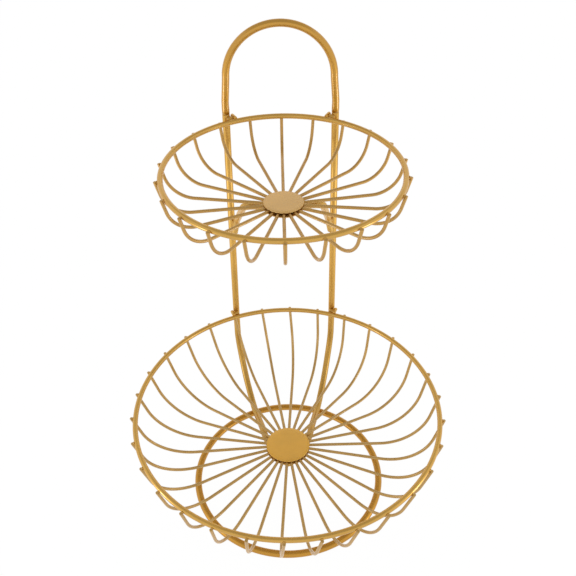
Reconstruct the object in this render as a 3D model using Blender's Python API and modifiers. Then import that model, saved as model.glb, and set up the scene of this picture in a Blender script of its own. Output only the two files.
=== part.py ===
"""Two-tier wire fruit basket: a bent tube frame on a foot ring carries two round bowls of welded ribs.

Metres, +Z up. The origin is on the table at the centre of the foot ring. The posts stand behind the
bowls, at +Y, and +X is to the right of someone who faces the basket from the front.
"""

import math
from types import SimpleNamespace

import bmesh
import bpy
from mathutils import Matrix, Vector

MM = 0.001

# Wires and tubes, all given as radii
tube_radius = 3.5 * MM
bracket_tube_radius = 3.3 * MM
handle_tube_radius = 3.5 * MM
rim_wire_radius = 2.5 * MM
rib_wire_radius = 1.5 * MM
lug_radius = 1.8 * MM

# Clearance between two pieces that are welded, clamped or plugged together
gap = 0.3 * MM

# Points closer than this are one point
merge_distance = 0.005 * MM

# Foot ring, measured to the middle of its tube
foot_ring_radius = 96.0 * MM

# Frame: two posts that run down to the foot ring and meet in a narrow loop below the lower hub.
# Their spacing is taken at the lower rim, and each leans in a little from there to its top
post_half_spacing = 54.2 * MM
post_lean_in = 2.7 * MM
straight_post_below_rim = 22.0 * MM
cradle_half_width = 23.7 * MM
foot_half_spacing = 36.5 * MM
spigot_radius = 2.2 * MM
spigot_overrun = 4.0 * MM

# Handle: an arch on two short legs that plug over the spigots and lean in a little as they rise
handle_lean_in = 1.9 * MM
handle_leg_length = 34.9 * MM
handle_collar_radius = 3.9 * MM
handle_collar_length = 4.5 * MM

# Bracket below the upper hub
bracket_bar_half_width = 34.9 * MM
bracket_bar_setback = 8.5 * MM
bracket_corner_radius = 9.0 * MM
bracket_foot_radius = 18.0 * MM
bracket_drop = 125.9 * MM
bracket_foot_length = 15.0 * MM
bracket_foot_inset = 3.0 * MM
bracket_foot_splay = 3.0 * MM

# Hub: two round plates that hold the inner ends of the ribs between them
plate_thickness = 1.0 * MM
plate_edge_bevel = 0.35 * MM

# Lugs: short bars welded on the rims, over the rib tips. Each runs back beside a post, where it is
# welded too, and ends a little before the middle of the post
lug_setback = 1.0 * MM

# Ribs are welded to the outer side of the rim and end this far above its middle
rib_tip_rise = 0.5 * MM

# The two bowls. Rims are measured to the middle of their wire, depth from there to the top of the hub.
# Rib walls lean outward by wall_lean and sideways, round the bowl, by wall_turn. Lug side is 1 for
# lugs on the outer sides of the posts and -1 for lugs between them
lower = SimpleNamespace(
    name="lower",
    rim_radius=148.6 * MM,
    rim_height=108.0 * MM,
    depth=55.8 * MM,
    plate_radius=22.2 * MM,
    bend_radius=50.0 * MM,
    floor_fall=4.0 * MM,
    wall_lean=math.radians(16.3),
    wall_turn=math.radians(2.1),
    rib_count=30,
    rib_turn=math.radians(4.6),
    lug_side=1,
)
upper = SimpleNamespace(
    name="upper",
    rim_radius=103.0 * MM,
    rim_height=346.3 * MM,
    depth=30.4 * MM,
    plate_radius=17.8 * MM,
    bend_radius=26.6 * MM,
    floor_fall=-1.1 * MM,
    wall_lean=math.radians(14.2),
    wall_turn=math.radians(0.0),
    rib_count=22,
    rib_turn=math.radians(0.4),
    lug_side=-1,
)

# Counts of points along curves and round pieces
ring_steps = 64
foot_ring_sides = 10
arch_steps = 20
bend_steps = 6
route_steps = 3
wire_bevel_resolution = 2
wire_sides = 8
round_steps = 36

# Route of one side of the frame, by hand. Width share runs from the cradle (0) to the foot ring (1)
# or from the foot ring (0) to the post (1), the other two from the foot ring (0) to the far end (1).
rear_route_shares = [
    (1.00, 1.00, 1.00),
    (0.97, 0.96, 0.77),
    (0.78, 0.80, 0.47),
    (0.52, 0.55, 0.21),
    (0.21, 0.25, 0.03),
    (0.00, 0.00, 0.00),
]
front_route_shares = [
    (0.75, 0.19, 0.06),
    (0.53, 0.43, 0.34),
    (0.25, 0.73, 0.69),
    (0.00, 1.00, 0.93),
]
# Loop under the lower hub: width as a share of cradle_half_width, place as a share of the plate radius
cradle_loop_shares = [(0.82, 0.40), (0.52, -0.18), (0.22, -0.60), (0.00, -0.76)]


def clear_scene():
    for thing in list(bpy.data.objects):
        bpy.data.objects.remove(thing, do_unlink=True)


def new_collection(name):
    collection = bpy.data.collections.new(name)
    bpy.context.scene.collection.children.link(collection)
    return collection


def gold(name, colour, roughness):
    """Satin gold lacquer on steel."""
    material = bpy.data.materials.new(name)
    material.use_nodes = True
    shader = material.node_tree.nodes["Principled BSDF"]
    shader.inputs["Base Color"].default_value = (*colour, 1.0)
    shader.inputs["Metallic"].default_value = 1.0
    shader.inputs["Roughness"].default_value = roughness
    return material


def place(thing, collection, material):
    for owner in list(thing.users_collection):
        owner.objects.unlink(thing)
    collection.objects.link(thing)
    thing.data.materials.clear()
    thing.data.materials.append(material)
    return thing


def rounded_corner(before, corner, after, radius, steps):
    """Points of an arc that rounds one corner of a path, no longer than the straight runs allow."""
    back = (before - corner).normalized()
    onward = (after - corner).normalized()
    half = back.angle(onward) / 2
    reach = radius / math.tan(half)
    reach = min(reach, (before - corner).length, (after - corner).length)
    radius = reach * math.tan(half)
    centre = corner + (back + onward).normalized() * (radius / math.sin(half))
    start = corner + back * reach - centre
    end = corner + onward * reach - centre
    sweep = start.angle(end)
    points = []
    for step in range(steps + 1):
        t = step / steps
        arm = (start * math.sin((1 - t) * sweep) + end * math.sin(t * sweep)) / math.sin(sweep)
        points.append(centre + arm)
    return points


def smooth_route(stations, steps):
    """A smooth line through the stations, with its ends straight on."""
    padded = [2 * stations[0] - stations[1], *stations, 2 * stations[-1] - stations[-2]]
    points = [stations[0]]
    for i in range(1, len(padded) - 2):
        p0, p1, p2, p3 = padded[i - 1 : i + 3]
        for step in range(1, steps + 1):
            t = step / steps
            points.append(
                0.5
                * (
                    2 * p1
                    + (p2 - p0) * t
                    + (2 * p0 - 5 * p1 + 4 * p2 - p3) * t**2
                    + (3 * p1 - p0 - 3 * p2 + p3) * t**3
                )
            )
    return points


def wire_curve(name, points, radius, thickenings=None):
    """Curve data for a round wire through the points. A thickening is the radius at its point."""
    data = bpy.data.curves.new(name, "CURVE")
    data.dimensions = "3D"
    data.bevel_depth = radius
    data.bevel_resolution = wire_bevel_resolution
    data.use_fill_caps = True
    spline = data.splines.new("POLY")
    spline.points.add(len(points) - 1)
    for place_on, point in zip(spline.points, points):
        place_on.co = (*point, 1.0)
    for place_on, thick in zip(spline.points, thickenings or []):
        place_on.radius = thick / radius
    spline.use_smooth = True
    return data


def wire(name, points, radius, collection, material, thickenings=None):
    thing = bpy.data.objects.new(name, wire_curve(name, points, radius, thickenings))
    return place(thing, collection, material)


def as_mesh(curve, collection, material):
    """The curve's solid as a mesh object of the same name, its caps welded on."""
    bpy.context.view_layer.update()
    evaluated = curve.evaluated_get(bpy.context.evaluated_depsgraph_get())
    mesh = bpy.data.meshes.new_from_object(evaluated)
    name, matrix = curve.name, curve.matrix_world.copy()
    bpy.data.objects.remove(curve, do_unlink=True)
    build = bmesh.new()
    build.from_mesh(mesh)
    bmesh.ops.remove_doubles(build, verts=build.verts, dist=merge_distance)
    bmesh.ops.recalc_face_normals(build, faces=build.faces)
    build.to_mesh(mesh)
    build.free()
    thing = bpy.data.objects.new(name, mesh)
    thing.matrix_world = matrix
    return place(thing, collection, material)


def ring(name, radius, wire_radius, sides, centre, collection, material):
    bpy.ops.mesh.primitive_torus_add(
        location=centre,
        major_radius=radius,
        minor_radius=wire_radius,
        major_segments=ring_steps,
        minor_segments=sides,
    )
    thing = bpy.context.object
    thing.name = name
    thing.data.shade_smooth()
    return place(thing, collection, material)


def cylinder(name, radius, bottom, top, x, y, collection, material):
    bpy.ops.mesh.primitive_cylinder_add(
        vertices=wire_sides * 2,
        radius=radius,
        depth=top - bottom,
        location=(x, y, (bottom + top) / 2),
    )
    thing = bpy.context.object
    thing.name = name
    return place(thing, collection, material)


def combine(target, tool, operation, cutters):
    """Union or difference with a tool that is kept hidden among the cutters."""
    for owner in list(tool.users_collection):
        owner.objects.unlink(tool)
    cutters.objects.link(tool)
    tool.hide_render = True
    tool.display_type = "WIRE"
    modifier = target.modifiers.new(tool.name, "BOOLEAN")
    modifier.operation = operation
    modifier.solver = "EXACT"
    modifier.object = tool


def turned(name, profile, centre, collection, material):
    """A solid of revolution from (radius, height) points that run down its outer side."""
    mesh = bpy.data.meshes.new(name)
    corners = [(r, 0.0, z) for r, z in profile]
    mesh.from_pydata(corners, [(i, i + 1) for i in range(len(corners) - 1)], [])
    thing = bpy.data.objects.new(name, mesh)
    thing.location = centre
    screw = thing.modifiers.new("Turn", "SCREW")
    screw.steps = round_steps
    screw.render_steps = round_steps
    screw.use_merge_vertices = True
    screw.merge_threshold = merge_distance
    screw.use_smooth_shade = False
    return place(thing, collection, material)


def derive():
    """Heights and places that follow from the sizes above. The posts clear the ribs of both bowls."""
    for bowl in (lower, upper):
        bowl.hub_top = bowl.rim_height - bowl.depth
        bowl.rib_height = bowl.hub_top - plate_thickness - gap - rib_wire_radius
        bowl.hub_bottom = bowl.rib_height - rib_wire_radius - gap - plate_thickness
        bowl.rib_end_radius = bowl.rib_count * (2 * rib_wire_radius + gap) / math.tau + gap
        bowl.rib_top = bowl.rim_height + rib_tip_rise
        bowl.lug_height = bowl.rib_top + gap + lug_radius
    rim_to_post = rim_wire_radius + gap + 2 * rib_wire_radius + gap + tube_radius
    post_y = math.sqrt((lower.rim_radius + rim_to_post) ** 2 - post_x(lower.rim_height) ** 2)
    upper_reach = math.sqrt((upper.rim_radius + rim_to_post) ** 2 - post_x(upper.rim_height) ** 2)
    lower.centre_y = 0.0
    upper.centre_y = post_y - upper_reach
    return post_y


def joint_height():
    """Tops of the posts, where the handle plugs on, just above the lugs of the upper rim."""
    return upper.lug_height + lug_radius + gap


def post_x(height):
    """Half the distance between the posts at a height from the lower rim up."""
    rise = (height - lower.rim_height) / (joint_height() - lower.rim_height)
    return post_half_spacing - rise * post_lean_in


def foot_ring_height():
    """Middle of the foot ring, which stands on one of its flat sides."""
    return tube_radius * math.cos(math.pi / foot_ring_sides)


def make_foot_ring(parts):
    centre = (0.0, 0.0, foot_ring_height())
    material = gold("foot_gold", (0.47, 0.25, 0.05), 0.34)
    ring("foot_ring", foot_ring_radius, tube_radius, foot_ring_sides, centre, parts, material)


def frame_route(post_y):
    """The right side of the frame, from the top of its post to the front of the loop below the hub."""
    foot_y = math.sqrt(foot_ring_radius**2 - foot_half_spacing**2)
    foot_z = foot_ring_height() + 2 * tube_radius + gap
    bend_z = lower.rim_height - straight_post_below_rim
    cradle_y = lower.plate_radius
    cradle_z = lower.hub_bottom - gap - tube_radius
    stations = []
    for across, along, up in rear_route_shares:
        x = foot_half_spacing + across * (post_half_spacing - foot_half_spacing)
        y = foot_y + along * (post_y - foot_y)
        stations.append(Vector((x, y, foot_z + up * (bend_z - foot_z))))
    for across, along, up in front_route_shares:
        x = cradle_half_width + across * (foot_half_spacing - cradle_half_width)
        y = foot_y + along * (cradle_y - foot_y)
        stations.append(Vector((x, y, foot_z + up * (cradle_z - foot_z))))
    for across, along in cradle_loop_shares:
        stations.append(Vector((across * cradle_half_width, along * lower.plate_radius, cradle_z)))
    top = Vector((post_x(joint_height()), post_y, joint_height()))
    rim_level = Vector((post_half_spacing, post_y, lower.rim_height))
    return [top, *smooth_route([rim_level, *stations], route_steps)]


def make_frame(post_y, parts, cutters):
    material = gold("frame_gold", (0.52, 0.29, 0.07), 0.32)
    right = frame_route(post_y)
    left = [Vector((-point.x, point.y, point.z)) for point in reversed(right[:-1])]
    frame = wire("frame_loop", right + left, tube_radius, parts, material)
    frame = as_mesh(frame, parts, material)
    bottom = joint_height() - tube_radius
    top = joint_height() + handle_bore_depth() - gap
    for side, sign in (("right", 1.0), ("left", -1.0)):
        x = sign * post_x(joint_height())
        spigot = cylinder(f"spigot_{side}", spigot_radius, bottom, top, x, post_y, cutters, material)
        combine(frame, spigot, "UNION", cutters)


def handle_bore_depth():
    """From the top of a post to the end of the handle's bore, past the collar and its shoulder."""
    return gap + handle_collar_length + handle_tube_radius + spigot_overrun


def make_handle(post_y, parts, cutters):
    material = gold("handle_gold", (0.55, 0.31, 0.08), 0.30)
    half_spacing = post_x(joint_height())
    foot = joint_height() + gap
    spring = foot + handle_leg_length
    shoulder = foot + handle_collar_length + handle_tube_radius
    bore_top = joint_height() + handle_bore_depth()
    legs = [foot, foot + handle_collar_length, shoulder, bore_top]
    thick = [handle_collar_radius, handle_collar_radius, handle_tube_radius, handle_tube_radius]
    arch = []
    arch_radius = half_spacing - handle_lean_in
    for step in range(arch_steps + 1):
        turn = math.pi * step / arch_steps
        x = arch_radius * math.cos(turn)
        arch.append(Vector((x, post_y, spring + arch_radius * math.sin(turn))))
    right = [Vector((half_spacing, post_y, z)) for z in legs]
    left = [Vector((-half_spacing, post_y, z)) for z in reversed(legs)]
    thickenings = thick + [handle_tube_radius] * len(arch) + thick[::-1]
    handle = wire("handle_arch", right + arch + left, handle_tube_radius, parts, material, thickenings)
    handle = as_mesh(handle, parts, material)
    for side, x in (("right", half_spacing), ("left", -half_spacing)):
        bore = cylinder(
            f"bore_{side}", spigot_radius + gap, foot - gap, bore_top, x, post_y, cutters, material
        )
        combine(handle, bore, "DIFFERENCE", cutters)


def make_bracket(post_y, parts):
    """Bent tube welded to the fronts of the posts, its bar below the upper hub."""
    material = gold("bracket_gold", (0.60, 0.37, 0.13), 0.34)
    bar_y = upper.centre_y + bracket_bar_setback
    bar_z = upper.hub_bottom - gap - bracket_tube_radius
    touch = tube_radius + gap + bracket_tube_radius
    front_y = post_y - math.sqrt(touch**2 - bracket_foot_inset**2)
    foot_z = upper.rim_height - bracket_drop
    foot_x = post_x(foot_z) - bracket_foot_inset
    knee_z = foot_z + bracket_foot_length
    middle = Vector((0.0, bar_y, bar_z))
    shoulder = Vector((bracket_bar_half_width, bar_y, bar_z))
    knee = Vector((foot_x - bracket_foot_splay, front_y, knee_z))
    foot = Vector((foot_x, front_y, foot_z))
    bend = rounded_corner(middle, shoulder, knee, bracket_corner_radius, bend_steps)
    heel = rounded_corner(shoulder, knee, foot, bracket_foot_radius, bend_steps)
    right = [*bend, *heel, foot]
    left = [Vector((-point.x, point.y, point.z)) for point in reversed(right)]
    wire("upper_bracket", left + right, bracket_tube_radius, parts, material)


def make_rim(bowl, post_y, parts, cutters):
    """The rim wire with its two lugs, which reach back beside the posts."""
    material = gold(f"{bowl.name}_rim_gold", (0.53, 0.30, 0.08), 0.32)
    centre = Vector((0.0, bowl.centre_y, bowl.rim_height))
    rim = ring(
        f"{bowl.name}_rim", bowl.rim_radius, rim_wire_radius, wire_sides, centre, parts, material
    )
    middle = Vector((0.0, bowl.centre_y, bowl.lug_height))
    for side, sign in (("right", 1.0), ("left", -1.0)):
        post = Vector((sign * post_x(bowl.lug_height), post_y, bowl.lug_height))
        behind = (post - middle).normalized()
        beside = sign * bowl.lug_side * Vector((behind.y, -behind.x, 0.0))
        line = post + (tube_radius + gap + lug_radius) * beside
        to_rim = (post - middle).length - bowl.rim_radius
        points = [line - to_rim * behind, line - lug_setback * behind]
        lug = wire(f"{bowl.name}_lug_{side}", points, lug_radius, cutters, material)
        lug = as_mesh(lug, cutters, material)
        combine(rim, lug, "UNION", cutters)


def make_hub(bowl, parts):
    """Two plates on a core. The ribs end in the groove between the plates."""
    material = gold(f"{bowl.name}_hub_gold", (0.58, 0.36, 0.11), 0.45)
    core_radius = bowl.rib_end_radius - gap
    top, bottom = bowl.hub_top, bowl.hub_bottom
    edge = bowl.plate_radius
    profile = [
        (0.0, top),
        (edge - plate_edge_bevel, top),
        (edge, top - plate_edge_bevel),
        (edge, top - plate_thickness),
        (core_radius, top - plate_thickness),
        (core_radius, bottom + plate_thickness),
        (edge, bottom + plate_thickness),
        (edge, bottom),
        (0.0, bottom),
    ]
    centre = (0.0, bowl.centre_y, 0.0)
    turned(f"{bowl.name}_hub", profile, centre, parts, material)


def rib_route(bowl):
    """From the hub out along the floor, round the bend and up the wall, for a rib that starts at +X."""
    wall_x = bowl.rim_radius + rim_wire_radius + gap + rib_wire_radius
    top = Vector((wall_x, 0.0, bowl.rib_top))
    inner = Vector((bowl.rib_end_radius, 0.0, bowl.rib_height))
    plate_edge = Vector((bowl.plate_radius, 0.0, bowl.rib_height))
    floor_z = bowl.rib_height - bowl.floor_fall
    corner_x = wall_x - (bowl.rib_top - floor_z) * math.tan(bowl.wall_lean)
    corner = Vector((corner_x, 0.0, floor_z))
    bend = rounded_corner(plate_edge, corner, top, bowl.bend_radius, bend_steps)
    route = []
    for point in [inner, plate_edge, *bend, top]:
        rise = max(0.0, point.z - floor_z) / (bowl.rib_top - floor_z)
        route.append(Matrix.Rotation(bowl.wall_turn * rise, 3, "Z") @ point)
    return route


def make_ribs(bowl, parts):
    material = gold(f"{bowl.name}_rib_gold", (0.50, 0.30, 0.10), 0.36)
    data = wire_curve(f"{bowl.name}_rib", rib_route(bowl), rib_wire_radius)
    data.materials.append(material)
    for number in range(bowl.rib_count):
        rib = bpy.data.objects.new(f"{bowl.name}_rib_{number + 1:02d}", data)
        rib.location = (0.0, bowl.centre_y, 0.0)
        rib.rotation_euler.z = math.pi / 2 - math.tau * number / bowl.rib_count - bowl.rib_turn
        parts.objects.link(rib)


def main():
    clear_scene()
    parts = new_collection("wire_fruit_basket")
    cutters = new_collection("cutters")
    post_y = derive()
    make_foot_ring(parts)
    make_frame(post_y, parts, cutters)
    make_handle(post_y, parts, cutters)
    make_bracket(post_y, parts)
    for bowl in (lower, upper):
        make_rim(bowl, post_y, parts, cutters)
        make_hub(bowl, parts)
        make_ribs(bowl, parts)


main()
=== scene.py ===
"""Two-tier wire fruit basket in satin gold lacquer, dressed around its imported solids.

Every wire, ring and plate follows the middle line of its solid, and gets its true round section,
cut ends, welds and finish. Metres, +Z up, the posts at the back at +Y.
"""
import math
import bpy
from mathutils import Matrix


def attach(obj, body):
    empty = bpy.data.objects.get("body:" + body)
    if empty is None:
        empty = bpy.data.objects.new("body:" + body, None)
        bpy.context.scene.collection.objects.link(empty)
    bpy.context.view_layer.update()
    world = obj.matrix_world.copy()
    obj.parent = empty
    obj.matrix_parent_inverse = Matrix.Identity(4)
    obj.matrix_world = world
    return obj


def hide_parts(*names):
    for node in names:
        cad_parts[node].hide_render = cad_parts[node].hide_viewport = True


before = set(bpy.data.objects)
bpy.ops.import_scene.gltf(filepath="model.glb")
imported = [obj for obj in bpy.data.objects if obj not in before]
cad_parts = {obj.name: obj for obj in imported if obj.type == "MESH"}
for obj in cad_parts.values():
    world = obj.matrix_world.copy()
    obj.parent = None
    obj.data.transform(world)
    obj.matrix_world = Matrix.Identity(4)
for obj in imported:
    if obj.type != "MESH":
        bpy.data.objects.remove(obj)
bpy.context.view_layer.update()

from types import SimpleNamespace

import bmesh
import bpy
from mathutils import Matrix, Vector

MM = 0.001

# Radii of the wires and tubes
tube_radius = 3.5 * MM
bracket_tube_radius = 3.3 * MM
handle_tube_radius = 3.5 * MM
rim_wire_radius = 2.5 * MM
rib_wire_radius = 1.5 * MM
lug_radius = 1.8 * MM
lug_weld_radius = 2.5 * MM
foot_seam_radius = 1.3 * MM
bracket_seam_radius = 1.5 * MM

# Clearance between the solids where pieces are welded or plugged together
gap = 0.3 * MM

# Frame, handle and bracket. The solid of the foot ring stands on a flat side, with its middle
# at the height given here, and the frame is placed above that
foot_ring_radius = 96.0 * MM
foot_ring_solid_middle = 3.329 * MM
post_half_spacing = 54.2 * MM
post_lean_in = 2.7 * MM
straight_post_below_rim = 22.0 * MM
cradle_half_width = 23.7 * MM
foot_half_spacing = 36.5 * MM
spigot_radius = 2.2 * MM
spigot_overrun = 4.0 * MM
spigot_shoulder = 0.5 * MM
soft_shoulder_share = 0.95
shoulder_edge_share = 0.86
spigot_nose_share = 0.75
handle_lean_in = 1.9 * MM
handle_leg_length = 34.9 * MM
handle_swage = 0.1 * MM
handle_collar_length = 4.5 * MM
handle_lip = 0.4 * MM
handle_mouth_share = 0.93
bracket_bar_half_width = 34.9 * MM
bracket_bar_setback = 8.5 * MM
bracket_corner_radius = 9.0 * MM
bracket_foot_radius = 18.0 * MM
bracket_drop = 125.9 * MM
bracket_foot_length = 15.0 * MM
bracket_foot_inset = 3.0 * MM
bracket_foot_splay = 3.0 * MM

# Hub plates, the lugs of the rims and the outer ends of the ribs
plate_thickness = 1.0 * MM
plate_edge_roll = 0.35 * MM
plate_edge_break = 0.1 * MM
plate_pressed_margin = 2.6 * MM
plate_pressed_fall = 0.16 * MM
lug_setback = 1.0 * MM
rib_tip_rise = 0.5 * MM

# Dressed ends of wires: the depth to which each is rounded off
bracket_end_depth = 0.6 * MM
lug_end_depth = 0.9 * MM
lug_weld_end_depth = 1.6 * MM
rib_end_depth = 0.4 * MM

# Welds
lug_weld_drop = 0.8 * lug_radius
lug_weld_overrun = 0.6 * lug_radius
bead_size = (0.75 * MM, 1.5 * MM, 1.35 * MM)
least_bead_share = 0.82
most_bead_share = 1.18
bead_seed = 7
foot_seam_half_length = 3.6 * MM
bracket_seam_start = 0.8 * MM
bracket_seam_length = 0.8 * bracket_foot_length
seam_end_share = 0.04
seam_ripples = 9
seam_ripple_depth = 0.07

# The two bowls. Lugs are on the outer sides of the posts (1) or between them (-1)
lower = SimpleNamespace(
    name="lower",
    rim_radius=148.6 * MM,
    rim_height=108.0 * MM,
    depth=55.8 * MM,
    plate_radius=22.2 * MM,
    bend_radius=50.0 * MM,
    floor_fall=4.0 * MM,
    wall_lean=math.radians(16.3),
    wall_turn=math.radians(2.1),
    rib_count=30,
    rib_turn=math.radians(4.6),
    lug_side=1,
    plate_colour=(0.765, 0.425, 0.057),
    rib_colour=(0.505, 0.31, 0.088),
)
upper = SimpleNamespace(
    name="upper",
    rim_radius=103.0 * MM,
    rim_height=346.3 * MM,
    depth=30.4 * MM,
    plate_radius=17.8 * MM,
    bend_radius=26.6 * MM,
    floor_fall=-1.1 * MM,
    wall_lean=math.radians(14.2),
    wall_turn=math.radians(0.0),
    rib_count=22,
    rib_turn=math.radians(0.4),
    lug_side=-1,
    # Paler and whiter than the lower plates: partly a painted sheen for the clear coat's
    # reflection, partly the plates' own worn lacquer
    plate_colour=(0.69, 0.425, 0.125),
    rib_colour=(0.52, 0.30, 0.072),
)

# Shares across, along and up each side of the frame, as its solid has them
rear_route_shares = [
    (1.00, 1.00, 1.00),
    (0.97, 0.96, 0.77),
    (0.78, 0.80, 0.47),
    (0.52, 0.55, 0.21),
    (0.21, 0.25, 0.03),
    (0.00, 0.00, 0.00),
]
front_route_shares = [
    (0.75, 0.19, 0.06),
    (0.53, 0.43, 0.34),
    (0.25, 0.73, 0.69),
    (0.00, 1.00, 0.93),
]
cradle_loop_shares = [(0.82, 0.40), (0.52, -0.18), (0.22, -0.60), (0.00, -0.76)]

# Fineness of the drawn pieces
route_steps = 12
bend_steps = 20
arch_steps = 72
ring_steps = 240
plate_steps = 128
plate_margin_steps = 8
plate_roll_steps = 6
end_steps = 4
seam_steps = 24
tube_sides = 24
rim_sides = 18
lug_sides = 16
rib_sides = 14
seam_sides = 12
bead_segments = 12
bead_rings = 8
sharp_angle = math.radians(50)

# Finishes. The plates and the ribs have a colour of their own in each bowl, and the whiter colour
# of the upper plates is partly a painted sheen
foot_ring_finish = {"colour": (0.52, 0.255, 0.026), "roughness": 0.38, "coat": 0.5}
frame_finish = {"colour": (0.65, 0.38, 0.085), "roughness": 0.38, "coat": 0.2}
handle_finish = {"colour": (0.545, 0.27, 0.01), "roughness": 0.36, "coat": 1.0, "coat_ior": 1.62}
bracket_finish = {"colour": (0.66, 0.41, 0.11), "roughness": 0.42, "coat": 0.3}
rim_finish = {"colour": (0.60, 0.34, 0.06), "roughness": 0.33}
weld_finish = {"colour": (0.56, 0.31, 0.05), "roughness": 0.48}
plate_finish = {"roughness": 0.48, "coat": 1.0}
rib_finish = {"roughness": 0.45}

# What every gold shares. The scales say how fine a grain is, in grains to the metre
metallic = 0.92
edge_tint = (0.95, 0.75, 0.5, 1.0)
coat_roughness = 0.15
fine_detail = 1.0
cloud_detail = 2.0
cloud_scale = 38.0
cloud_limits = (0.30, 0.70)
cloud_tone_share = 0.88
cloud_roughness = 0.03
flake_scale = 2600.0
flake_limits = (0.35, 0.75)
flake_tone_share = 0.12
flake_roughness = 0.01
dark_share = 0.94
pale_share = 1.04
peel_scale = 700.0
peel_share = 0.8
flake_relief_share = 0.2
relief_strength = 0.04
relief_depth = 0.01 * MM

# Shares of the tone that painted shade takes, and the height up to which it takes all of its share
plate_edge_painted_shade = 0.03
low_post_shade = 0.22
low_post_shade_height = 60.0 * MM

# Studio. A glow is what a surface shows in a reflection, where white is 1
table_size = 12.0
table_drop = 0.02 * MM
table_tone = 0.86
table_roughness = 0.9
table_glow = 1.02
table_glow_share = 0.95
room_light = 0.75
softbox_place = (0.62, -0.18, 0.07)
softbox_target = (0.0, 0.15, 0.07)
softbox_width = 0.06
softbox_height = 0.13
softbox_glow = 20.0
dim_side_radius = 1.5
dim_side_half_width = 1.3
dim_side_axis_height = 0.25
dim_side_start = -9
dim_side_sweep = 159
dim_side_steps = 24
dim_side_glow = 1.06
overhead_tone = 0.59
fade_start_height = 1.12
fade_end_height = 1.36

# Camera: place in metres, angles in radians and focal length in pixels of the photograph's width
camera_place = (-0.0080, -0.5130, 0.6685)
camera_pitch = 0.6740
camera_yaw = -0.01948
camera_roll = 0.01201
camera_focal_pixels = 760.47
photo_width_pixels = 576
film_width = 36.0


class Term:
    """An output of a node sheet. Arithmetic on it adds the Math nodes that work it out."""

    def __init__(self, sheet, socket):
        self.sheet = sheet
        self.socket = socket

    def math(self, operation, *terms):
        return self.sheet.add("ShaderNodeMath", {"operation": operation}, dict(enumerate(terms)))

    def __add__(self, other):
        return self.math("ADD", self, other)

    def __radd__(self, other):
        return self.math("ADD", other, self)

    def __rsub__(self, other):
        return self.math("SUBTRACT", other, self)

    def __mul__(self, other):
        return self.math("MULTIPLY", self, other)

    def most(self, other):
        return self.math("MAXIMUM", self, other)

    def step_up(self, low, high):
        """0 below low and 1 above high, with a soft slope between."""
        values = {0: self, 1: low, 2: high, 3: 0.0, 4: 1.0}
        settings = {"interpolation_type": "SMOOTHSTEP"}
        return self.sheet.add("ShaderNodeMapRange", settings, values)


class Sheet:
    """A tree of nodes, for a finish or for shapes, with one method that adds any node."""

    def __init__(self, tree):
        self.tree = tree

    def add(self, kind, settings=None, values=None, output=0):
        """A new node. Its values are numbers or the outputs of other nodes."""
        node = self.tree.nodes.new(kind)
        for key, setting in (settings or {}).items():
            setattr(node, key, setting)
        for key, value in (values or {}).items():
            if isinstance(value, Term):
                self.tree.links.new(value.socket, node.inputs[key])
            else:
                node.inputs[key].default_value = value
        return Term(self, node.outputs[output])

    def feed(self, term, node, key):
        self.tree.links.new(term.socket, node.inputs[key])


def shape_sheet(name, inputs):
    """A geometry tree with named inputs: the sheet, its inputs by name and its output node."""
    tree = bpy.data.node_groups.new(name, "GeometryNodeTree")
    tree.interface.new_socket("Geometry", in_out="OUTPUT", socket_type="NodeSocketGeometry")
    tree.interface.new_socket("Geometry", in_out="INPUT", socket_type="NodeSocketGeometry")
    for label, kind in inputs.items():
        tree.interface.new_socket(label, in_out="INPUT", socket_type=f"NodeSocket{kind}")
    sheet = Sheet(tree)
    entry = tree.nodes.new("NodeGroupInput")
    given = {socket.name: Term(sheet, socket) for socket in entry.outputs if socket.name}
    return sheet, given, tree.nodes.new("NodeGroupOutput")


def close_sheet(sheet, shape, material, exit_node):
    """The end of each geometry tree: smooth, realised and in its own finish."""
    shape = sheet.add("GeometryNodeSetShadeSmooth", values={"Geometry": shape})
    shape = sheet.add("GeometryNodeRealizeInstances", values={"Geometry": shape})
    shape = sheet.add("GeometryNodeSetMaterial", values={"Geometry": shape, "Material": material})
    sheet.feed(shape, exit_node, 0)
    return sheet.tree


def turned_and_moved(sheet, shape, given):
    """The shape, turned about +Z and then moved to its centre."""
    turn = sheet.add("ShaderNodeCombineXYZ", values={"Z": given["Turn"]})
    turn = sheet.add("FunctionNodeEulerToRotation", values={0: turn})
    return sheet.add(
        "GeometryNodeTransform",
        values={"Geometry": shape, "Translation": given["Centre"], "Rotation": turn},
    )


def drawn_wire_tree():
    """Sweeps a round section along every path, thicker or thinner where the path says so."""
    inputs = {
        "Wire Radius": "Float",
        "Sides": "Int",
        "Turn": "Float",
        "Centre": "Vector",
        "Material": "Material",
    }
    sheet, given, exit_node = shape_sheet("drawn_wire", inputs)
    section = sheet.add(
        "GeometryNodeCurvePrimitiveCircle",
        {"mode": "RADIUS"},
        {"Resolution": given["Sides"], "Radius": given["Wire Radius"]},
    )
    swept = sheet.add(
        "GeometryNodeCurveToMesh",
        values={
            "Curve": given["Geometry"],
            "Profile Curve": section,
            "Scale": sheet.add("GeometryNodeInputRadius"),
            "Fill Caps": True,
        },
    )
    return close_sheet(sheet, turned_and_moved(sheet, swept, given), given["Material"], exit_node)


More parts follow.
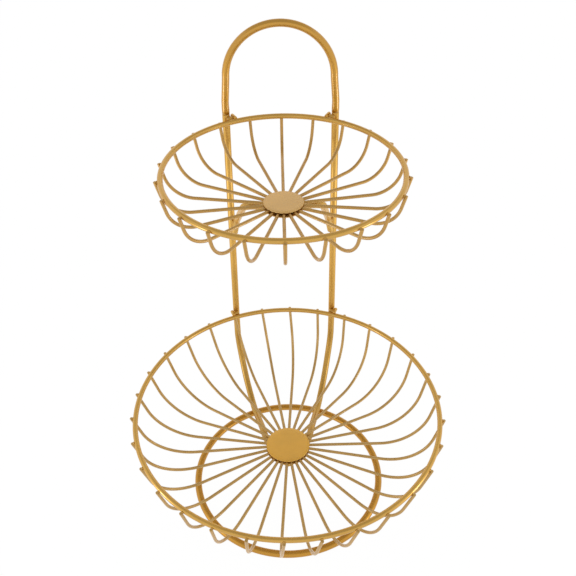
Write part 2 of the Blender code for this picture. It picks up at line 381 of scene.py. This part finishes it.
def rim_welds_tree():
    """A small bead in each crossing of a rib with its rim, none quite like the next."""
    inputs = {
        "Count": "Int",
        "Ring Radius": "Float",
        "Bead Size": "Vector",
        "Turn": "Float",
        "Centre": "Vector",
        "Material": "Material",
    }
    sheet, given, exit_node = shape_sheet("rim_welds", inputs)
    places = sheet.add(
        "GeometryNodeMeshCircle",
        values={"Vertices": given["Count"], "Radius": given["Ring Radius"]},
    )
    outward = sheet.add("GeometryNodeInputPosition")
    facing = sheet.add("FunctionNodeAlignRotationToVector", {"axis": "X"}, {"Vector": outward})
    unlike = sheet.add(
        "FunctionNodeRandomValue",
        {"data_type": "FLOAT"},
        {2: least_bead_share, 3: most_bead_share, "Seed": bead_seed},
        output=1,
    )
    size = sheet.add(
        "ShaderNodeVectorMath", {"operation": "SCALE"}, {0: given["Bead Size"], "Scale": unlike}
    )
    bead = sheet.add(
        "GeometryNodeMeshUVSphere",
        values={"Segments": bead_segments, "Rings": bead_rings, "Radius": 1.0},
    )
    beads = sheet.add(
        "GeometryNodeInstanceOnPoints",
        values={"Points": places, "Instance": bead, "Rotation": facing, "Scale": size},
    )
    return close_sheet(sheet, turned_and_moved(sheet, beads, given), given["Material"], exit_node)


def baked(host, tree, values):
    """The plain mesh that a geometry tree makes of the host, under the host's name."""
    modifier = host.modifiers.new(tree.name, "NODES")
    modifier.node_group = tree
    for item in tree.interface.items_tree:
        if item.in_out == "INPUT" and item.name in values:
            modifier[item.identifier] = values[item.name]
    bpy.context.view_layer.update()
    made = host.evaluated_get(bpy.context.evaluated_depsgraph_get())
    mesh = bpy.data.meshes.new_from_object(made)
    name = host.name
    bpy.data.objects.remove(host, do_unlink=True)
    mesh.name = name
    piece = bpy.data.objects.new(name, mesh)
    bpy.context.scene.collection.objects.link(piece)
    return piece


def path_object(name, paths, closed):
    """A curve object with one line for each path, whose points are places with a thickness."""
    data = bpy.data.curves.new(name, "CURVE")
    data.dimensions = "3D"
    for path in paths:
        line = data.splines.new("POLY")
        line.points.add(len(path) - 1)
        for point, (place, share) in zip(line.points, path):
            point.co = (*place, 1.0)
            point.radius = share
        line.use_cyclic_u = closed
    host = bpy.data.objects.new(name, data)
    bpy.context.scene.collection.objects.link(host)
    return host


def wires(
    name, paths, radius, material, closed=False, sides=tube_sides, turn=0.0, centre=(0, 0, 0)
):
    """One piece of round wires, all of one radius, along the paths."""
    values = {
        "Wire Radius": radius,
        "Sides": sides,
        "Turn": turn,
        "Centre": centre,
        "Material": material,
    }
    return baked(path_object(name, paths, closed), drawn_wire, values)


def even(points):
    """The points, each with the whole of the wire's thickness."""
    return [(point, 1.0) for point in points]


def cut_ends(points, radius, depth):
    """Points of a wire whose two cut ends are dressed round, each with its share of the radius."""
    start = (points[1] - points[0]).normalized()
    finish = (points[-2] - points[-1]).normalized()
    head, tail = [], []
    for step in range(end_steps + 1):
        turn = math.pi / 2 * step / end_steps
        inward = depth * (1 - math.cos(turn))
        share = 1 - depth / radius * (1 - math.sin(turn))
        head.append((points[0] + start * inward, share))
        tail.append((points[-1] + finish * inward, share))
    return head + even(points[1:-1]) + tail[::-1]


def rounded_corner(before, corner, after, radius, steps):
    """Points of an arc that rounds one corner, no longer than the straight runs allow."""
    back = (before - corner).normalized()
    onward = (after - corner).normalized()
    half = back.angle(onward) / 2
    reach = min(radius / math.tan(half), (before - corner).length, (after - corner).length)
    radius = reach * math.tan(half)
    centre = corner + (back + onward).normalized() * (radius / math.sin(half))
    start = corner + back * reach - centre
    end = corner + onward * reach - centre
    sweep = start.angle(end)
    points = []
    for step in range(steps + 1):
        t = step / steps
        arm = (start * math.sin((1 - t) * sweep) + end * math.sin(t * sweep)) / math.sin(sweep)
        points.append(centre + arm)
    return points


def smooth_route(stations, steps):
    """A smooth line through the stations, with its ends straight on."""
    padded = [2 * stations[0] - stations[1], *stations, 2 * stations[-1] - stations[-2]]
    points = [stations[0]]
    for i in range(1, len(padded) - 2):
        p0, p1, p2, p3 = padded[i - 1 : i + 3]
        for step in range(1, steps + 1):
            t = step / steps
            points.append(
                0.5
                * (
                    2 * p1
                    + (p2 - p0) * t
                    + (2 * p0 - 5 * p1 + 4 * p2 - p3) * t**2
                    + (3 * p1 - p0 - 3 * p2 + p3) * t**3
                )
            )
    return points


def mirrored(points):
    """The points on the other side of the middle plane."""
    return [Vector((-point.x, point.y, point.z)) for point in points]


def circle(radius, centre, steps):
    """Evenly spaced points on a level circle."""
    points = []
    for step in range(steps):
        turn = math.tau * step / steps
        points.append(centre + radius * Vector((math.cos(turn), math.sin(turn), 0.0)))
    return points


def derive():
    """Heights and places that follow from the sizes, as in the solids."""
    for bowl in (lower, upper):
        bowl.hub_top = bowl.rim_height - bowl.depth
        bowl.rib_height = bowl.hub_top - plate_thickness - gap - rib_wire_radius
        bowl.hub_bottom = bowl.rib_height - rib_wire_radius - gap - plate_thickness
        bowl.rib_end_radius = bowl.rib_count * (2 * rib_wire_radius + gap) / math.tau + gap
        bowl.rib_top = bowl.rim_height + rib_tip_rise
        bowl.lug_height = bowl.rib_top + gap + lug_radius
    rim_to_post = rim_wire_radius + gap + 2 * rib_wire_radius + gap + tube_radius
    post_y = math.sqrt((lower.rim_radius + rim_to_post) ** 2 - post_x(lower.rim_height) ** 2)
    upper_reach = math.sqrt((upper.rim_radius + rim_to_post) ** 2 - post_x(upper.rim_height) ** 2)
    lower.centre_y = 0.0
    upper.centre_y = post_y - upper_reach
    return post_y


def joint_height():
    """Tops of the posts, where the handle plugs on."""
    return upper.lug_height + lug_radius + gap


def post_x(height):
    """Half the distance between the posts at a height from the lower rim up."""
    rise = (height - lower.rim_height) / (joint_height() - lower.rim_height)
    return post_half_spacing - rise * post_lean_in


def satin_gold(name, colour, roughness, coat=0.8, coat_ior=1.5, zone=None):
    """Gold lacquer on steel under a clear coat: cloudy tone, fine flake and a light orange peel.

    A zone says what share of the tone is taken by painted shade at each place.
    """
    material = bpy.data.materials.new(name)
    material.use_nodes = True
    sheet = Sheet(material.node_tree)
    shader = material.node_tree.nodes["Principled BSDF"]
    place = sheet.add("ShaderNodeTexCoord", output="Object")

    def grain(scale, detail):
        values = {"Vector": place, "Scale": scale, "Detail": detail}
        return sheet.add("ShaderNodeTexNoise", values=values)

    clouds = grain(cloud_scale, cloud_detail).step_up(*cloud_limits)
    flakes = grain(flake_scale, fine_detail).step_up(*flake_limits)
    tone = clouds * cloud_tone_share + flakes * flake_tone_share
    dark = tuple(channel * dark_share for channel in colour)
    pale = tuple(channel * pale_share for channel in colour)
    mixed = sheet.add(
        "ShaderNodeMix",
        {"data_type": "RGBA"},
        {0: tone, 6: (*dark, 1.0), 7: (*pale, 1.0)},
        output=2,
    )
    if zone is not None:
        shade = {0: 1.0, 6: mixed, 7: 1 - zone(sheet, place)}
        settings = {"data_type": "RGBA", "blend_type": "MULTIPLY"}
        mixed = sheet.add("ShaderNodeMix", settings, shade, output=2)
    sheet.feed(mixed, shader, "Base Color")
    smoothest = roughness - (cloud_roughness + flake_roughness) / 2
    rough = smoothest + clouds * cloud_roughness + flakes * flake_roughness
    sheet.feed(rough, shader, "Roughness")
    skin = grain(peel_scale, fine_detail) * peel_share + flakes * flake_relief_share
    relief = {"Strength": relief_strength, "Distance": relief_depth, "Height": skin}
    sheet.feed(sheet.add("ShaderNodeBump", values=relief), shader, "Normal")
    shader.inputs["Metallic"].default_value = metallic
    shader.inputs["Specular Tint"].default_value = edge_tint
    shader.inputs["Coat Weight"].default_value = coat
    shader.inputs["Coat IOR"].default_value = coat_ior
    shader.inputs["Coat Roughness"].default_value = coat_roughness
    return material


def painted_shade_near_plate_edge(bowl):
    """Painted shade near the edge of a hub plate, darker towards the edge."""

    def zone(sheet, place):
        to_middle = (0.0, -bowl.centre_y, 0.0)
        centred = sheet.add("ShaderNodeMapping", values={"Vector": place, "Location": to_middle})
        flatten = {0: centred, 1: (1.0, 1.0, 0.0)}
        flat = sheet.add("ShaderNodeVectorMath", {"operation": "MULTIPLY"}, flatten)
        length = {"operation": "LENGTH"}
        reach = sheet.add("ShaderNodeVectorMath", length, {0: flat}, output="Value")
        margin = bowl.plate_radius - plate_pressed_margin
        return reach.step_up(margin, bowl.plate_radius) * plate_edge_painted_shade

    return zone


def low_on_posts(sheet, place):
    """Shade on the posts below the lower rim, deepest towards the foot ring."""
    height = sheet.add("ShaderNodeSeparateXYZ", values={0: place}, output="Z")
    return (1 - height.step_up(low_post_shade_height, lower.rim_height)) * low_post_shade


def hang(piece, slot, *nodes):
    """The piece moves with the one body, and stands for the nodes that it names."""
    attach(piece, "root")
    if nodes:
        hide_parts(*nodes)


def make_foot_ring():
    """The ring stands on the table, so its round section touches z = 0."""
    material = satin_gold("foot_ring_gold", **foot_ring_finish)
    points = circle(foot_ring_radius, Vector((0.0, 0.0, tube_radius)), ring_steps)
    ring = wires("foot_ring_tube", [even(points)], tube_radius, material, closed=True)
    hang(ring, "frame_gold", "foot_ring")


def frame_side(post_y):
    """Right side of the frame, from the top of its post to the front of the loop."""
    foot_y = math.sqrt(foot_ring_radius**2 - foot_half_spacing**2)
    foot_z = foot_ring_solid_middle + 2 * tube_radius + gap
    bend_z = lower.rim_height - straight_post_below_rim
    cradle_z = lower.hub_bottom - gap - tube_radius
    stations = []
    for across, along, up in rear_route_shares:
        x = foot_half_spacing + across * (post_half_spacing - foot_half_spacing)
        y = foot_y + along * (post_y - foot_y)
        stations.append(Vector((x, y, foot_z + up * (bend_z - foot_z))))
    for across, along, up in front_route_shares:
        x = cradle_half_width + across * (foot_half_spacing - cradle_half_width)
        y = foot_y + along * (lower.plate_radius - foot_y)
        stations.append(Vector((x, y, foot_z + up * (cradle_z - foot_z))))
    for across, along in cradle_loop_shares:
        stations.append(Vector((across * cradle_half_width, along * lower.plate_radius, cradle_z)))
    top = Vector((post_x(joint_height()), post_y, joint_height()))
    rim_level = Vector((post_half_spacing, post_y, lower.rim_height))
    return [top, *smooth_route([rim_level, *stations], route_steps)]


def make_frame(post_y):
    """The long bar, with a spigot on each post."""
    material = satin_gold("frame_tube_gold", zone=low_on_posts, **frame_finish)
    right = frame_side(post_y)
    middle = right[1:] + mirrored(reversed(right[1:-1]))
    top = joint_height()
    spigot_top = top + handle_bore_depth() - gap
    spigot_share = spigot_radius / tube_radius
    rise = [
        (top - spigot_shoulder, 1.0),
        (top - spigot_shoulder / 4, soft_shoulder_share),
        (top, shoulder_edge_share),
        (top + gap / 8, spigot_share),
        (spigot_top - spigot_shoulder, spigot_share),
        (spigot_top, spigot_nose_share * spigot_share),
    ]
    x = post_x(top)
    head = [(Vector((x, post_y, z)), share) for z, share in rise]
    tail = [(Vector((-x, post_y, z)), share) for z, share in rise]
    tube = wires("frame_tube", [head[::-1] + even(middle) + tail], tube_radius, material)
    hang(tube, "frame_gold", "frame_loop")


def handle_bore_depth():
    """From the top of a post to the end of the handle's bore, past the collar and its shoulder."""
    return gap + handle_collar_length + handle_tube_radius + spigot_overrun


def bore(piece, places, radius, bottom, top):
    """Cuts round blind holes into the piece from below, their walls smooth."""
    for x, y in places:
        bpy.ops.mesh.primitive_cylinder_add(
            vertices=tube_sides,
            radius=radius,
            depth=top - bottom,
            location=(x, y, (bottom + top) / 2),
        )
        drill = bpy.context.object
        cut = piece.modifiers.new("bore", "BOOLEAN")
        cut.operation = "DIFFERENCE"
        cut.solver = "EXACT"
        cut.object = drill
        bpy.context.view_layer.update()
        made = piece.evaluated_get(bpy.context.evaluated_depsgraph_get())
        mesh = bpy.data.meshes.new_from_object(made)
        piece.modifiers.remove(cut)
        bpy.data.objects.remove(drill, do_unlink=True)
        mesh.name = piece.data.name
        piece.data = mesh
    piece.data.set_sharp_from_angle(angle=sharp_angle)


def make_handle(post_y):
    """The arch, very slightly swaged where it goes over each spigot."""
    material = satin_gold("handle_gold_finish", **handle_finish)
    half_spacing = post_x(joint_height())
    foot = joint_height() + gap
    spring = foot + handle_leg_length
    collar_share = 1 + handle_swage / handle_tube_radius
    arch_radius = half_spacing - handle_lean_in
    bore_top = joint_height() + handle_bore_depth()
    rise = [
        (foot, collar_share * handle_mouth_share),
        (foot + handle_lip, collar_share),
        (foot + handle_collar_length, collar_share),
        (foot + handle_collar_length + handle_tube_radius, 1.0),
        (bore_top, 1.0),
    ]
    right = [(Vector((half_spacing, post_y, z)), share) for z, share in rise]
    left = [(Vector((-half_spacing, post_y, z)), share) for z, share in reversed(rise)]
    arch = []
    for step in range(arch_steps + 1):
        turn = math.pi * step / arch_steps
        x, z = arch_radius * math.cos(turn), spring + arch_radius * math.sin(turn)
        arch.append(Vector((x, post_y, z)))
    tube = wires("handle_tube", [right + even(arch) + left], handle_tube_radius, material)
    ends = [(half_spacing, post_y), (-half_spacing, post_y)]
    bore(tube, ends, spigot_radius + gap, foot - gap, bore_top)
    hang(tube, "frame_gold", "handle_arch")


def bracket_path(post_y):
    """Right half of the bracket, from its cross bar to the foot on the post."""
    bar_y = upper.centre_y + bracket_bar_setback
    bar_z = upper.hub_bottom - gap - bracket_tube_radius
    touch = tube_radius + gap + bracket_tube_radius
    front_y = post_y - math.sqrt(touch**2 - bracket_foot_inset**2)
    foot_z = upper.rim_height - bracket_drop
    foot_x = post_x(foot_z) - bracket_foot_inset
    middle = Vector((0.0, bar_y, bar_z))
    shoulder = Vector((bracket_bar_half_width, bar_y, bar_z))
    knee = Vector((foot_x - bracket_foot_splay, front_y, foot_z + bracket_foot_length))
    foot = Vector((foot_x, front_y, foot_z))
    bend = rounded_corner(middle, shoulder, knee, bracket_corner_radius, bend_steps)
    heel = rounded_corner(shoulder, knee, foot, bracket_foot_radius, bend_steps)
    return [*bend, *heel, foot]


def make_bracket(post_y):
    """The bent bar that carries the upper hub."""
    material = satin_gold("bracket_tube_gold", **bracket_finish)
    right = bracket_path(post_y)
    path = cut_ends(mirrored(reversed(right)) + right, bracket_tube_radius, bracket_end_depth)
    tube = wires("bracket_tube", [path], bracket_tube_radius, material)
    hang(tube, "frame_gold", "upper_bracket")


def lug_places(bowl, post_y):
    """For each lug its start on the rim, its end beside the post, and the ways back and aside."""
    places = []
    middle = Vector((0.0, bowl.centre_y, bowl.lug_height))
    for sign in (1.0, -1.0):
        post = Vector((sign * post_x(bowl.lug_height), post_y, bowl.lug_height))
        behind = (post - middle).normalized()
        beside = sign * bowl.lug_side * Vector((behind.y, -behind.x, 0.0))
        line = post + (tube_radius + gap + lug_radius) * beside
        to_rim = (post - middle).length - bowl.rim_radius
        places.append((line - to_rim * behind, line - lug_setback * behind, behind, beside))
    return places


def make_rim(bowl, post_y, weld_gold):
    """The rim wire, its lugs with dressed ends, and the weld of each over its post's front."""
    material = satin_gold(f"{bowl.name}_rim_wire_gold", **rim_finish)
    centre = Vector((0.0, bowl.centre_y, bowl.rim_height))
    rim = wires(
        f"{bowl.name}_rim_wire",
        [even(circle(bowl.rim_radius, centre, ring_steps))],
        rim_wire_radius,
        material,
        closed=True,
        sides=rim_sides,
    )
    lugs, welds = [], []
    for start, end, behind, beside in lug_places(bowl, post_y):
        lugs.append(cut_ends([start, start.lerp(end, 0.5), end], lug_radius, lug_end_depth))
        corner = end + (lug_setback - tube_radius - lug_weld_drop) * behind
        corner.z -= lug_weld_drop
        far, near = corner - 2 * tube_radius * beside, corner + lug_weld_overrun * beside
        across = [far, far.lerp(near, 0.5), near]
        welds.append(cut_ends(across, lug_weld_radius, lug_weld_end_depth))
    lug_bars = wires(f"{bowl.name}_rim_lugs", lugs, lug_radius, material, sides=lug_sides)
    lug_welds = wires(
        f"{bowl.name}_lug_welds", welds, lug_weld_radius, weld_gold, sides=lug_sides
    )
    hang(rim, "rim_gold", f"{bowl.name}_rim")
    hang(lug_bars, "rim_gold")
    hang(lug_welds, "rim_gold")


def make_rim_welds(bowl, material):
    """The beads between all ribs of a bowl and its rim."""
    host = path_object(f"{bowl.name}_rim_welds", [], False)
    values = {
        "Count": bowl.rib_count,
        "Ring Radius": bowl.rim_radius + rim_wire_radius + gap / 2,
        "Bead Size": bead_size,
        "Turn": math.pi / 2 - bowl.rib_turn + bowl.wall_turn,
        "Centre": (0.0, bowl.centre_y, bowl.rim_height),
        "Material": material,
    }
    hang(baked(host, rim_welds, values), "rim_gold")


def hub_profile(bowl):
    """Half of a hub's section: two plates on a core, the upper one with a pressed edge."""
    top, bottom = bowl.hub_top, bowl.hub_bottom
    edge = bowl.plate_radius
    core = bowl.rib_end_radius - gap
    soft = 0.3 * plate_edge_roll
    profile = [(0.0, top)]
    for step in range(plate_margin_steps + 1):
        t = step / plate_margin_steps
        r = edge - plate_edge_roll - plate_pressed_margin * (1 - t)
        profile.append((r, top - plate_pressed_fall * (0.5 - 0.5 * math.cos(math.pi * t))))
    crest = top - plate_pressed_fall
    for step in range(1, plate_roll_steps + 1):
        turn = math.pi / 2 * step / plate_roll_steps
        r = edge - plate_edge_roll * (1 - math.sin(turn))
        profile.append((r, crest - plate_edge_roll * (1 - math.cos(turn))))
    profile += [
        (edge, top - plate_thickness + plate_edge_break),
        (edge - plate_edge_break, top - plate_thickness),
        (core, top - plate_thickness),
        (core, bottom + plate_thickness),
        (edge - plate_edge_break, bottom + plate_thickness),
        (edge, bottom + plate_thickness - plate_edge_break),
        (edge, bottom + plate_edge_roll),
        (edge - soft, bottom + soft),
        (edge - plate_edge_roll, bottom),
        (0.0, bottom),
    ]
    return profile


def make_hub(bowl):
    """Two pressed plates on a core, with the ribs between them."""
    name = f"{bowl.name}_plate_gold"
    # The plates get painted shade near their edges
    material = satin_gold(name, bowl.plate_colour, zone=painted_shade_near_plate_edge(bowl), **plate_finish)
    mesh = bpy.data.meshes.new(f"{bowl.name}_plates")
    shape = bmesh.new()
    rows = []
    for r, z in hub_profile(bowl):
        if r == 0.0:
            rows.append([shape.verts.new((0.0, bowl.centre_y, z))])
            continue
        points = circle(r, Vector((0.0, bowl.centre_y, z)), plate_steps)
        rows.append([shape.verts.new(point) for point in points])
    for above, below in zip(rows, rows[1:]):
        for i in range(plate_steps):
            j = (i + 1) % plate_steps
            if len(above) == 1:
                corners = (above[0], below[i], below[j])
            elif len(below) == 1:
                corners = (above[i], below[0], above[j])
            else:
                corners = (above[i], below[i], below[j], above[j])
            shape.faces.new(corners).smooth = True
    bmesh.ops.recalc_face_normals(shape, faces=shape.faces)
    for joint in shape.edges:
        joint.smooth = joint.calc_face_angle(0.0) < sharp_angle
    shape.to_mesh(mesh)
    shape.free()
    mesh.materials.append(material)
    plates = bpy.data.objects.new(mesh.name, mesh)
    bpy.context.scene.collection.objects.link(plates)
    hang(plates, "hub_gold", f"{bowl.name}_hub")


def rib_path(bowl):
    """A rib that starts at +X: from the hub along the floor, round the bend and up the wall."""
    wall_x = bowl.rim_radius + rim_wire_radius + gap + rib_wire_radius
    top = Vector((wall_x, 0.0, bowl.rib_top))
    inner = Vector((bowl.rib_end_radius, 0.0, bowl.rib_height))
    plate_edge = Vector((bowl.plate_radius, 0.0, bowl.rib_height))
    floor_z = bowl.rib_height - bowl.floor_fall
    corner_x = wall_x - (bowl.rib_top - floor_z) * math.tan(bowl.wall_lean)
    corner = Vector((corner_x, 0.0, floor_z))
    bend = rounded_corner(plate_edge, corner, top, bowl.bend_radius, bend_steps)
    route = []
    for point in [inner, plate_edge, *bend, top]:
        rise = max(0.0, point.z - floor_z) / (bowl.rib_top - floor_z)
        route.append(Matrix.Rotation(bowl.wall_turn * rise, 3, "Z") @ point)
    return cut_ends(route, rib_wire_radius, rib_end_depth)


def make_ribs(bowl):
    """The wires of a bowl, numbered clockwise as seen from above, the first one at the back."""
    material = satin_gold(f"{bowl.name}_rib_wire_gold", bowl.rib_colour, **rib_finish)
    path = rib_path(bowl)
    for number in range(bowl.rib_count):
        node = f"{bowl.name}_rib_{number + 1:02d}"
        rib = wires(
            f"{node}_wire",
            [path],
            rib_wire_radius,
            material,
            sides=rib_sides,
            turn=math.pi / 2 - math.tau * number / bowl.rib_count - bowl.rib_turn,
            centre=(0.0, bowl.centre_y, 0.0),
        )
        hang(rib, "rib_gold", node)


def seam(start, end):
    """A short run of weld: swollen in the middle, rippled, and thin at its ends."""
    path = []
    for step in range(seam_steps + 1):
        t = step / seam_steps
        swell = math.sin(math.pi * (seam_end_share + (1 - 2 * seam_end_share) * t)) ** 0.5
        ripple = 1 + seam_ripple_depth * math.sin(seam_ripples * math.tau * t)
        path.append((start.lerp(end, t), swell * ripple))
    return path


def make_seams(post_y, material):
    """Weld seams between the frame and the foot ring, and between the bracket and the posts."""
    foot_y = math.sqrt(foot_ring_radius**2 - foot_half_spacing**2)
    foot, post = [], []
    for sign in (1.0, -1.0):
        crossing = Vector((sign * foot_half_spacing, foot_y, 2 * tube_radius + gap / 2))
        along = Vector((-foot_y, sign * foot_half_spacing, 0.0)).normalized()
        half = along * foot_seam_half_length
        foot.append(seam(crossing - half, crossing + half))
    bracket = bracket_path(post_y)[-1]
    touch_x = (bracket.x + post_x(bracket.z)) / 2
    touch_y = (bracket.y + post_y) / 2
    for sign in (1.0, -1.0):
        low = Vector((sign * touch_x, touch_y, bracket.z + bracket_seam_start))
        post.append(seam(low, low + Vector((0.0, 0.0, bracket_seam_length))))
    foot_welds = wires("foot_ring_welds", foot, foot_seam_radius, material, sides=seam_sides)
    post_welds = wires("bracket_welds", post, bracket_seam_radius, material, sides=seam_sides)
    hang(foot_welds, "frame_gold")
    hang(post_welds, "frame_gold")


def softbox(name, side):
    """A low, narrow lit panel, with side -1 for the left and 1 for the right."""
    data = bpy.data.lights.new(name, "AREA")
    data.shape = "RECTANGLE"
    data.size = softbox_width
    data.size_y = softbox_height
    data.energy = softbox_glow * math.pi * softbox_width * softbox_height
    light = bpy.data.objects.new(name, data)
    x, y, z = softbox_place
    light.location = (side * x, y, z)
    aim = Vector(softbox_target) - light.location
    light.rotation_euler = aim.to_track_quat("-Z", "Y").to_euler()
    light.visible_camera = False
    bpy.context.scene.collection.objects.link(light)


def seen_directly(sheet):
    """1 for what is seen straight, in gloss or through glass, and 0 for light on the object."""
    ray = sheet.tree.nodes.new("ShaderNodeLightPath")
    seen = Term(sheet, ray.outputs["Is Camera Ray"])
    seen = seen.most(Term(sheet, ray.outputs["Is Glossy Ray"]))
    return seen.most(Term(sheet, ray.outputs["Is Transmission Ray"]))


def make_studio():
    """A plain white table and backdrop, with a low, narrow softbox on each side."""
    bpy.ops.mesh.primitive_plane_add(size=table_size, location=(0.0, 0.0, -table_drop))
    floor = bpy.context.object
    floor.name = "floor"
    material = bpy.data.materials.new("white_table")
    material.use_nodes = True
    sheet = Sheet(material.node_tree)
    nodes = material.node_tree.nodes
    shader = nodes["Principled BSDF"]
    shader.inputs["Base Color"].default_value = (table_tone, table_tone, table_tone, 1.0)
    shader.inputs["Roughness"].default_value = table_roughness
    white = {"Color": (1.0, 1.0, 1.0, 1.0), "Strength": table_glow}
    glow = sheet.add("ShaderNodeEmission", values=white)
    lit = Term(sheet, shader.outputs[0])
    parts = {0: seen_directly(sheet) * table_glow_share, 1: lit, 2: glow}
    mixed = sheet.add("ShaderNodeMixShader", values=parts)
    sheet.feed(mixed, nodes["Material Output"], "Surface")
    material.cycles.emission_sampling = "NONE"
    floor.data.materials.append(material)

    world = bpy.data.worlds.new("studio")
    bpy.context.scene.world = world
    world.use_nodes = True
    sheet = Sheet(world.node_tree)
    background = world.node_tree.nodes["Background"]
    background.inputs["Color"].default_value = (1.0, 1.0, 1.0, 1.0)
    strength = room_light + seen_directly(sheet) * (1 - room_light)
    sheet.feed(strength, background, "Strength")

    softbox("left_softbox", -1)
    softbox("right_softbox", 1)
    make_dim_side()


def make_dim_side():
    """The unlit side of the room, dimmest overhead. Only gloss on the metal shows it."""
    mesh = bpy.data.meshes.new("dim_side")
    shape = bmesh.new()
    rows = []
    for step in range(dim_side_steps + 1):
        turn = math.radians(dim_side_start + dim_side_sweep * step / dim_side_steps)
        y = -dim_side_radius * math.cos(turn)
        z = dim_side_axis_height + dim_side_radius * math.sin(turn)
        edges = (-dim_side_half_width, dim_side_half_width)
        rows.append([shape.verts.new((x, y, z)) for x in edges])
    for (a, b), (c, d) in zip(rows, rows[1:]):
        shape.faces.new((a, b, d, c))
    shape.to_mesh(mesh)
    shape.free()
    material = bpy.data.materials.new("dim_cloth")
    material.use_nodes = True
    sheet = Sheet(material.node_tree)
    place = sheet.add("ShaderNodeTexCoord", output="Object")
    height = sheet.add("ShaderNodeSeparateXYZ", values={0: place}, output="Z")
    fade = {
        0: height.step_up(fade_start_height, fade_end_height),
        6: (1.0, 1.0, 1.0, 1.0),
        7: (overhead_tone, overhead_tone, overhead_tone, 1.0),
    }
    tone = sheet.add("ShaderNodeMix", {"data_type": "RGBA"}, fade, output=2)
    glow = sheet.add("ShaderNodeEmission", values={"Color": tone, "Strength": dim_side_glow})
    sheet.feed(glow, material.node_tree.nodes["Material Output"], "Surface")
    material.cycles.emission_sampling = "NONE"
    mesh.materials.append(material)
    card = bpy.data.objects.new("dim_side", mesh)
    bpy.context.scene.collection.objects.link(card)
    card.visible_camera = False
    card.visible_diffuse = False
    card.visible_shadow = False


def place_camera():
    """The camera of the photograph."""
    data = bpy.data.cameras.new("camera")
    data.sensor_fit = "HORIZONTAL"
    data.sensor_width = film_width
    data.lens = camera_focal_pixels / photo_width_pixels * film_width
    camera = bpy.data.objects.new("camera", data)
    camera.matrix_world = (
        Matrix.Translation(camera_place)
        @ Matrix.Rotation(camera_yaw, 4, "Z")
        @ Matrix.Rotation(math.pi / 2 - camera_pitch, 4, "X")
        @ Matrix.Rotation(-camera_roll, 4, "Z")
    )
    bpy.context.scene.collection.objects.link(camera)
    bpy.context.scene.camera = camera


drawn_wire = drawn_wire_tree()
rim_welds = rim_welds_tree()
post_y = derive()
weld_gold = satin_gold("weld_gold", **weld_finish)

make_foot_ring()
make_frame(post_y)
make_handle(post_y)
make_bracket(post_y)
for bowl in (lower, upper):
    make_rim(bowl, post_y, weld_gold)
    make_rim_welds(bowl, weld_gold)
for bowl in (lower, upper):
    make_hub(bowl)
for bowl in (lower, upper):
    make_ribs(bowl)
make_seams(post_y, weld_gold)
make_studio()
place_camera()
bpy.context.scene.view_settings.view_transform = "Standard"
